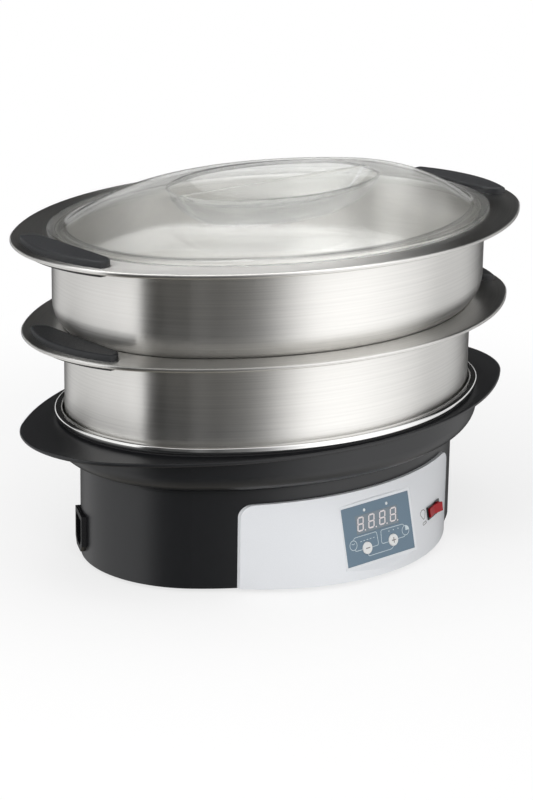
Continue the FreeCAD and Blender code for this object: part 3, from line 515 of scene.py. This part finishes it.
lidShell = swept("lidShell", lidPath(), finishes["clear_lid"], lidShape["around"])
lidFin = makeFin()
union = lidShell.modifiers.new("joinFin", "BOOLEAN")
union.operation, union.solver, union.object = "UNION", "EXACT", lidFin
settle(lidShell)
bpy.data.objects.remove(lidFin)
lidShell.data.materials.clear()
lidShell.data.materials.append(finishes["clear_lid"])
outward(lidShell)
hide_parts("lid")
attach(lidShell, "lid")
print("lid made:", len(lidShell.data.polygons), "faces")


def facing(place, normal):
    # frame on a surface, for lengths in mm: X to the right, Y up along it, Z outward
    out = Vector(normal).normalized()
    right = Vector((0, 0, 1)).cross(out).normalized()
    turned = Matrix((right, out.cross(right), out)).transposed().to_4x4()
    return Matrix.Translation(Vector(place) * mm) @ turned @ Matrix.Scale(mm, 4)


panelFrame = facing((4.2190, -111.4671, 32.3354), (0.0238206, -0.9740968, 0.2248733))
signFrame = facing((51.3, -106.64, 31.0), (0.3215, -0.9306, 0.1748))

# fineness of the print: steps of a line's corner and a bar's corner, sides of a dot
printStyle = {"lineSteps": 5, "barSteps": 2, "barRound": 0.4, "dotSides": 24, "mergeReach": 0.0001}


def inkTree():
    # flat printed lines that follow drawn paths
    inputs = {"Paths": "Geometry", "Width": "Float", "Height": "Float", "Corner": "Float", "Finish": "Material"}
    tree, start = newTree("printedLines", inputs, "Lines")
    curve = addNode(tree, "GeometryNodeMeshToCurve", {0: start["Paths"]})
    eased = addNode(tree, "GeometryNodeFilletCurve", {
        "Curve": curve.outputs[0], "Count": printStyle["lineSteps"], "Radius": start["Corner"], "Limit Radius": True},
        mode="POLY")
    level = addNode(tree, "GeometryNodeSetCurveNormal", {"Curve": eased.outputs[0]}, mode="Z_UP")
    stroke = addNode(tree, "GeometryNodeCurvePrimitiveQuadrilateral", {
        "Width": start["Width"], "Height": start["Height"]}, mode="RECTANGLE")
    ribbon = addNode(tree, "GeometryNodeCurveToMesh", {
        "Curve": level.outputs[0], "Profile Curve": stroke.outputs[0], "Fill Caps": True})
    solid = addNode(tree, "GeometryNodeRealizeInstances", {0: ribbon.outputs[0]})
    return handOut(tree, solid.outputs[0], start["Finish"], "Lines")


def stampTree(name, shape):
    # one small raised shape on every spot, turned by the spot's own angle
    sizes = {label: "Float" for label in ("Length", "Stroke", "Depth", "Slant", "Slant Level")}
    tree, start = newTree(name, {"Spots": "Geometry", **sizes, "Finish": "Material"}, "Stamps")
    if shape == "bar":
        box = addNode(tree, "GeometryNodeCurvePrimitiveQuadrilateral", {
            "Width": start["Length"], "Height": start["Stroke"]}, mode="RECTANGLE")
        corner = times(tree, start["Stroke"], printStyle["barRound"])
        outline = addNode(tree, "GeometryNodeFilletCurve", {
            "Curve": box.outputs[0], "Count": printStyle["barSteps"], "Radius": corner}, mode="POLY").outputs[0]
    else:
        radius = times(tree, start["Stroke"], 0.5)
        outline = addNode(tree, "GeometryNodeCurvePrimitiveCircle", {
            "Resolution": printStyle["dotSides"], "Radius": radius}).outputs[0]
    face = addNode(tree, "GeometryNodeFillCurve", {"Curve": outline}, mode="NGONS").outputs[0]
    lifted = {"Mesh": face, "Offset Scale": start["Depth"]}
    raised = addNode(tree, "GeometryNodeExtrudeMesh", lifted, mode="FACES").outputs[0]
    under = addNode(tree, "GeometryNodeFlipFaces", {0: face}).outputs[0]
    both = addNode(tree, "GeometryNodeJoinGeometry")
    tree.links.new(raised, both.inputs[0])
    tree.links.new(under, both.inputs[0])
    seam = {"Geometry": both.outputs[0], "Distance": printStyle["mergeReach"]}
    stamp = addNode(tree, "GeometryNodeMergeByDistance", seam).outputs[0]
    angle = addNode(tree, "GeometryNodeInputNamedAttribute", {"Name": "turn"}, data_type="FLOAT").outputs[0]
    turn = addNode(tree, "ShaderNodeCombineXYZ", {"Z": angle}).outputs[0]
    placed = addNode(tree, "GeometryNodeInstanceOnPoints", {
        "Points": start["Spots"], "Instance": stamp, "Rotation": turn}).outputs[0]
    solid = addNode(tree, "GeometryNodeRealizeInstances", {0: placed}).outputs[0]
    spot = addNode(tree, "ShaderNodeSeparateXYZ", {0: addNode(tree, "GeometryNodeInputPosition").outputs[0]})
    lean = times(tree, minus(tree, spot.outputs["Y"], start["Slant Level"]), start["Slant"])
    shift = addNode(tree, "ShaderNodeCombineXYZ", {"X": lean}).outputs[0]
    leaned = addNode(tree, "GeometryNodeSetPosition", {"Geometry": solid, "Offset": shift}).outputs[0]
    return handOut(tree, leaned, start["Finish"], "Stamps")


ink = inkTree()
bars = stampTree("segmentBars", "bar")
dots = stampTree("roundDots", "dot")


def seatOn(piece, place, body):
    piece.data.transform(place)
    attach(piece, body)


def printed(name, paths, height, style, material):
    verts, edges = [], []
    for path, closed in paths:
        first = len(verts)
        verts += [(x, y, height) for x, y in path]
        edges += [(first + i, first + i + 1) for i in range(len(path) - 1)]
        if closed:
            edges.append((len(verts) - 1, first))
    return outward(addModifier(newPiece(name, verts, edges), ink, dict(style, Finish=material)))


def stamped(name, spots, height, tree, style, material):
    piece = newPiece(name, [(x, y, height) for x, y, turn in spots])
    turns = [turn for x, y, turn in spots]
    piece.data.attributes.new("turn", "FLOAT", "POINT").data.foreach_set("value", turns)
    return outward(addModifier(piece, tree, dict(style, Finish=material)))


def ring(centre, radius, count=40):
    return onArc(centre, radius, [2 * math.pi * i / count for i in range(count)])


inks = {
    "line": mottle(finish("paleBlueInk", (0.62, 0.70, 0.74), 0.45), 1500, (0.4, 0.5), (0.94, 1.04)),
    "digit": mottle(finish("milkyDigit", (0.80, 0.74, 0.75), 0.4), 1200, (0.35, 0.45), (0.96, 1.02)),
    "mark": mottle(finish("greyKeyMark", (0.22, 0.21, 0.20), 0.5), 1500, (0.45, 0.55), (0.9, 1.1)),
}
digitStyle = {"centres": (-15.5, -5.2, 5.2, 15.5), "middle": 7.0, "halfHeight": 4.45, "halfWidth": 2.45, "height": -0.12,
              "dotAside": 4.5, "dotDrop": 0.4,
              "bar": {"Length": 4.1, "Stroke": 1.05, "Depth": 0.1, "Slant": 0.16, "Slant Level": 7.0},
              "dot": {"Stroke": 1.1, "Depth": 0.1, "Slant": 0.16, "Slant Level": 7.0}}


def digitSpots():
    spots = []
    mid, tall, wide = pick(digitStyle, "middle halfHeight halfWidth")
    for x in digitStyle["centres"]:
        spots += [(x, mid + k * tall, 0.0) for k in (-1, 0, 1)]
        spots += [(x + k * wide, mid + j * tall / 2, math.pi / 2) for k in (-1, 1) for j in (-1, 1)]
    return spots


def dotSpots():
    level = digitStyle["middle"] - digitStyle["halfHeight"] - digitStyle["dotDrop"]
    return [(x + digitStyle["dotAside"], level, 0.0) for x in digitStyle["centres"]]


digits = stamped("displayDigits", digitSpots(), digitStyle["height"], bars, digitStyle["bar"], inks["digit"])
seatOn(digits, panelFrame, "base")
points = stamped("displayDots", dotSpots(), digitStyle["height"], dots, digitStyle["dot"], inks["digit"])
seatOn(points, panelFrame, "base")

lineStyle = {"Width": 0.42, "Height": 0.06, "Corner": 1.5}
lineLift = 0.02
clocks = {"left": (-24.6, -6.1), "right": (25.2, -6.4), "radius": 3.3, "quarter": 3.1, "depth": 0.05, "steps": 12}
dashes = {"starts": (-18.0, -15.0, -12.0, -9.0, -6.0), "length": 1.6, "levels": (-4.6, -4.5), "slope": 0.02}
panelPaths = [
    (ring(clocks["left"], clocks["radius"]), True), (ring(clocks["right"], clocks["radius"]), True),
    ([(-24.2, -2.8), (-22.9, -1.2), (-2.0, -1.2), (-1.4, -10.8), (-7.9, -10.8)], False),
    ([(-24.1, -9.3), (-22.6, -10.6), (-16.8, -10.6)], False),
    ([(24.4, -3.2), (23.2, -1.6), (2.1, -1.3), (1.5, -10.8), (7.9, -10.8)], False),
    ([(16.8, -10.6), (23.2, -10.6), (24.4, -9.6)], False),
    ([(-12.4, -14.9), (-11.4, -16.3), (9.8, -16.3), (12.3, -14.9)], False),
    ([(-26.0, -4.6), (-24.5, -6.9), (-23.3, -4.7)], False),
]
for x in dashes["starts"]:
    low, high = (level + dashes["slope"] * x for level in dashes["levels"])
    panelPaths.append(([(x, low), (x + dashes["length"], high)], False))
seatOn(printed("panelLines", panelPaths, lineLift, lineStyle, inks["line"]), panelFrame, "base")
tickSpots = [(9.6, -3.6, 0.0), (13.9, -3.5, 0.0), (18.4, -3.5, 0.0)]
tickStyle = {"Stroke": 0.9, "Depth": 0.05}
seatOn(stamped("panelTicks", tickSpots, 0.0, dots, tickStyle, inks["line"]), panelFrame, "base")


def quarterPie(name, centre, radius, depth, steps):
    outline = [centre] + onArc(centre, radius, [math.pi / 2 * i / steps for i in range(steps + 1)])
    count = len(outline)
    verts = [(x, y, z) for z in (0.0, depth) for x, y in outline]
    faces = [tuple(reversed(range(count))), tuple(range(count, 2 * count))]
    faces += [(i, (i + 1) % count, (i + 1) % count + count, i + count) for i in range(count)]
    pie = newPiece(name, verts, (), faces)
    pie.data.materials.append(inks["line"])
    return outward(pie)


pie = quarterPie("clockQuarter", *pick(clocks, "right quarter depth steps"))
seatOn(pie, panelFrame, "base")
keyStyle = {"level": 1.0, "minus": (-12.4, -10.4), "plus": (12.4, -10.4),
            "bar": {"Length": 4.0, "Stroke": 0.75, "Depth": 0.05}}
for sign, turns in (("minus", (0.0,)), ("plus", (0.0, math.pi / 2))):
    spots = [(*keyStyle[sign], turn) for turn in turns]
    mark = stamped(sign + "Mark", spots, keyStyle["level"], bars, keyStyle["bar"], inks["mark"])
    seatOn(mark, panelFrame, sign + "_key")

# small lamp sign beside the switch
signStyle = {"Width": 0.5, "Height": 0.12, "Corner": 1.4}
signLift = 0.05
signPaths = [
    ([(0.6, -4.4), (-3.4, 0.2), (-3.6, 1.8), (-1.4, 3.3), (1.8, 3.2), (3.6, 1.6), (2.6, -1.2)], True),
    ([(-2.2, -7.6), (3.2, -7.0), (4.0, -5.3), (-1.4, -5.9)], True),
]
seatOn(printed("lampSign", signPaths, signLift, signStyle, inks["mark"]), signFrame, "base")
print("panel print made")


viewpoint = {"place": (-1.117520, -1.304148, 0.637404), "aim": (-0.002123, 0.001813, 0.098556),
             "lens": 113.72, "sensor": 36.0, "roll": 0.896, "reach": 50.0}


def setCamera():
    data = bpy.data.cameras.new("photoCamera")
    data.lens = viewpoint["lens"]
    data.sensor_width = viewpoint["sensor"]
    data.clip_end = viewpoint["reach"]
    camera = bpy.data.objects.new("photoCamera", data)
    bpy.context.scene.collection.objects.link(camera)
    place = Vector(viewpoint["place"])
    look = (Vector(viewpoint["aim"]) - place).to_track_quat("-Z", "Y").to_matrix()
    turned = look @ Matrix.Rotation(math.radians(viewpoint["roll"]), 3, "Z")
    camera.matrix_world = Matrix.Translation(place) @ turned.to_4x4()
    bpy.context.scene.camera = camera


lampAim = (0, 0, 0.12)
lamps = {
    "topBox": {"place": (-0.15, -0.1, 1.7), "size": 1.5, "power": 8.5},
    "leftBox": {"place": (-1.5, -0.2, 0.9), "size": 0.9, "power": 7.0},
    "frontBox": {"place": (-0.75, -1.4, 0.8), "size": 0.9, "power": 8.5},
}
# round: degrees from the camera's side and tone of the room there
studio = {
    "fill": 0.44, "cameraSide": -130.593, "throughLid": 0.6, "floorShare": 0.8, "floorTone": (0.36, 0.33, 0.27),
    "topTone": 0.95, "bankTone": 4.8, "stripTone": 1.0, "darkTone": 0.02, "seamTone": 0.03,
    "round": [
        (-180, 0.02), (-160, 0.08), (-150, 0.33), (-140, 0.66), (-134, 0.78), (-117, 0.78), (-97, 0.85), (-83, 0.96),
        (-65, 1.02), (-57, 1.1), (-46, 1.1), (-40, 0.08), (-28, 0.04), (-22, 0.09), (-4, 0.08), (2, 0.17), (8, 0.09),
        (16, 0.16), (20, 0.16), (29, 0.34), (38, 0.83), (48, 1.34), (56, 1.42), (70, 1.42), (87, 1.22), (112, 0.82),
        (134, 0.72), (144, 0.45), (151, 0.22), (156, 0.03)],
}
# where each part of the room begins and is full, upward or toward the camera in a direction of length 1
zones = {"floor": (-0.6, -0.9), "ceiling": (0.72, 0.92), "bankTop": (0.965, 0.91), "bankBack": (-0.1, -0.28),
         "behind": (-0.15, -0.45), "stripFoot": (-0.06, -0.01), "stripTop": (0.12, 0.06), "dark": (0.0, 0.12)}


def setWorld():
    world = bpy.data.worlds.new("softStudio")
    bpy.context.scene.world = world
    world.use_nodes = True
    tree = world.node_tree
    tree.nodes.clear()
    direction = addNode(tree, "ShaderNodeTexCoord").outputs["Generated"]
    turned = addNode(tree, "ShaderNodeVectorRotate", {
        "Vector": direction, "Angle": math.radians(-studio["cameraSide"])}, rotation_type="Z_AXIS")
    parts = addNode(tree, "ShaderNodeSeparateXYZ", {"Vector": turned.outputs[0]}).outputs
    toward, rise = parts["X"], parts["Z"]
    angle = calc(tree, "ARCTAN2", parts["Y"], toward)
    share = plus(tree, calc(tree, "DIVIDE", angle, 2 * math.pi), 0.5)
    around = addNode(tree, "ShaderNodeValToRGB", {"Fac": share})
    stops = around.color_ramp.elements
    for turn, tone in studio["round"]:
        stops.new(turn / 360 + 0.5).color = grey(tone)
    stops.remove(stops[0])
    stops[-1].color = grey(studio["seamTone"])

    def eased(value, zone, top=1.0):
        first, last = zones[zone]
        limits = {"Value": value, "From Min": first, "From Max": last, "To Max": top}
        return addNode(tree, "ShaderNodeMapRange", limits, interpolation_type="SMOOTHSTEP").outputs[0]

    low = eased(rise, "floor", studio["floorShare"])
    ceiling = eased(rise, "ceiling")
    # a bright bank of light high up behind the cooker
    bank = times(tree, times(tree, ceiling, eased(rise, "bankTop")), eased(toward, "bankBack"))
    # a pale strip of backdrop just over the table behind the cooker, and a dark room above it
    behind = eased(toward, "behind")
    strip = times(tree, times(tree, eased(rise, "stripFoot"), eased(rise, "stripTop")), behind)
    dark = times(tree, eased(rise, "dark"), behind)
    color = around.outputs[0]
    for part, tone in ((dark, grey(studio["darkTone"])), (strip, grey(studio["stripTone"])),
                       (low, (*studio["floorTone"], 1.0)), (ceiling, grey(studio["topTone"])),
                       (bank, grey(studio["bankTone"]))):
        color = blend(tree, part, color, tone)
    room = addNode(tree, "ShaderNodeBackground", {"Color": color, "Strength": 1.0})
    soft = addNode(tree, "ShaderNodeBackground", {"Color": white, "Strength": studio["fill"]})
    plain = addNode(tree, "ShaderNodeBackground", {"Color": white, "Strength": 1.0})
    # light that leaves the steel through the lid sees less of the plain white
    path = addNode(tree, "ShaderNodeLightPath").outputs
    offSteel = calc(tree, "GREATER_THAN", path["Glossy Depth"], 0.5)
    clear = minus(tree, 1.0, times(tree, offSteel, studio["throughLid"]))
    seen = calc(tree, "MAXIMUM", path["Is Camera Ray"], times(tree, path["Is Transmission Ray"], clear))
    glossy = addNode(tree, "ShaderNodeMixShader", {0: path["Is Glossy Ray"], 1: soft.outputs[0], 2: room.outputs[0]})
    whole = addNode(tree, "ShaderNodeMixShader", {0: seen, 1: glossy.outputs[0], 2: plain.outputs[0]})
    addNode(tree, "ShaderNodeOutputWorld", {"Surface": whole.outputs[0]})


def setLamps():
    for name, lamp in lamps.items():
        data = bpy.data.lights.new(name, "AREA")
        data.shape = "DISK"
        data.size = lamp["size"]
        data.energy = lamp["power"]
        light = bpy.data.objects.new(name, data)
        bpy.context.scene.collection.objects.link(light)
        place = Vector(lamp["place"])
        toward = (Vector(lampAim) - place).to_track_quat("-Z", "Y")
        light.matrix_world = Matrix.Translation(place) @ toward.to_matrix().to_4x4()
        light.visible_glossy = False


# the floor is lit near the cooker and fades to plain white between the two reaches, in m
floorStyle = {"half": 6.0, "color": (0.84, 0.84, 0.84), "roughness": 0.9, "glow": 0.16, "veil": 0.66,
              "litReach": 0.28, "whiteReach": 0.62}


def setFloor():
    half = floorStyle["half"]
    corners = [(-half, -half, 0), (half, -half, 0), (half, half, 0), (-half, half, 0)]
    floor = newPiece("paleFloor", corners, (), [(0, 1, 2, 3)])
    paint = finish("paleFloorPaint", floorStyle["color"], floorStyle["roughness"])
    tree = paint.node_tree
    base = tree.nodes["Principled BSDF"].outputs[0]
    path = addNode(tree, "ShaderNodeLightPath").outputs
    spot = addNode(tree, "ShaderNodeTexCoord").outputs["Object"]
    away = addNode(tree, "ShaderNodeVectorMath", {0: spot}, operation="LENGTH").outputs["Value"]
    fade = addNode(tree, "ShaderNodeMapRange", {
        "Value": away, "From Min": floorStyle["litReach"], "From Max": floorStyle["whiteReach"],
        "To Min": floorStyle["veil"]}, interpolation_type="SMOOTHSTEP").outputs[0]
    lift = addNode(tree, "ShaderNodeEmission", {"Color": white, "Strength": floorStyle["glow"]})
    lit = addNode(tree, "ShaderNodeAddShader", {0: base, 1: lift.outputs[0]})
    plain = addNode(tree, "ShaderNodeEmission", {"Color": white, "Strength": 1.0})
    seen = addNode(tree, "ShaderNodeMixShader", {0: fade, 1: lit.outputs[0], 2: plain.outputs[0]})
    direct = calc(tree, "MAXIMUM", path["Is Camera Ray"], path["Is Transmission Ray"])
    both = addNode(tree, "ShaderNodeMixShader", {0: direct, 1: base, 2: seen.outputs[0]})
    tree.links.new(both.outputs[0], tree.nodes["Material Output"].inputs["Surface"])
    floor.data.materials.append(paint)
    floor.visible_glossy = False


setCamera()
setWorld()
setLamps()
setFloor()
bpy.context.scene.view_settings.view_transform = "Standard"
print("camera, studio and floor set")
